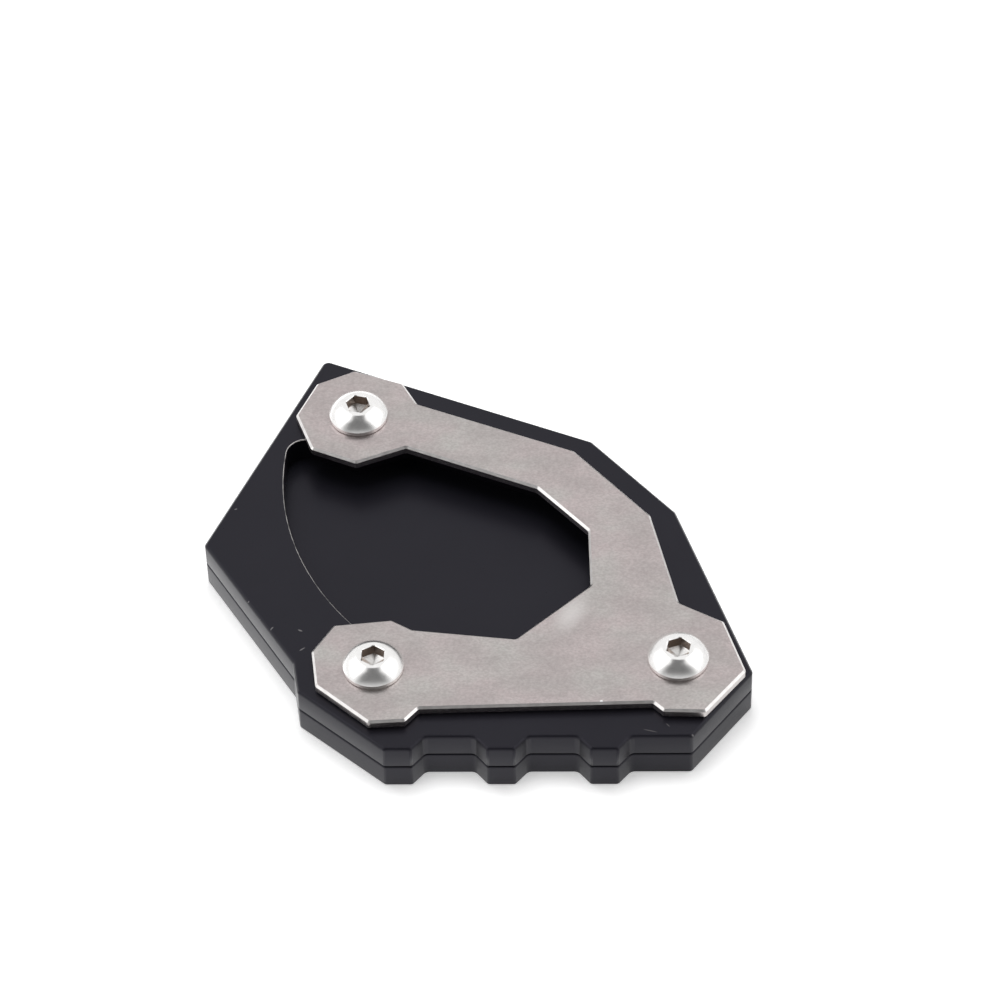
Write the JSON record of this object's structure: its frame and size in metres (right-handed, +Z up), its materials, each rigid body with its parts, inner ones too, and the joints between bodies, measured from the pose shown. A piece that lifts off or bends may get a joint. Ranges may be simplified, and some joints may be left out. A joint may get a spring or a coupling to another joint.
{
  "type": "side stand foot enlarger",
  "caption": "Wide black angular foot of stacked plates with a toothed front, a pocket for a stand's foot, and a C-shaped steel clamp plate held by button-head screws.",
  "frame": {"origin": "on the ground, under the middle of the base's bounding box", "axes": "+Z up from the ground, +X along the toothed front edge, +Y from the toothed edge to the back corner"},
  "size_m": [0.0988, 0.0944, 0.0151],
  "materials": {
    "black_anodised": "black anodised, satin",
    "clamp_steel": "fine satin stainless steel",
    "screw_steel": "polished stainless steel"
  },
  "bodies": {
    "root": {"ground_plate": "black_anodised", "pocket_frame": "black_anodised", "clamp_plate": "clamp_steel", "clamp_screws": "screw_steel"}
  },
  "joints": []
}
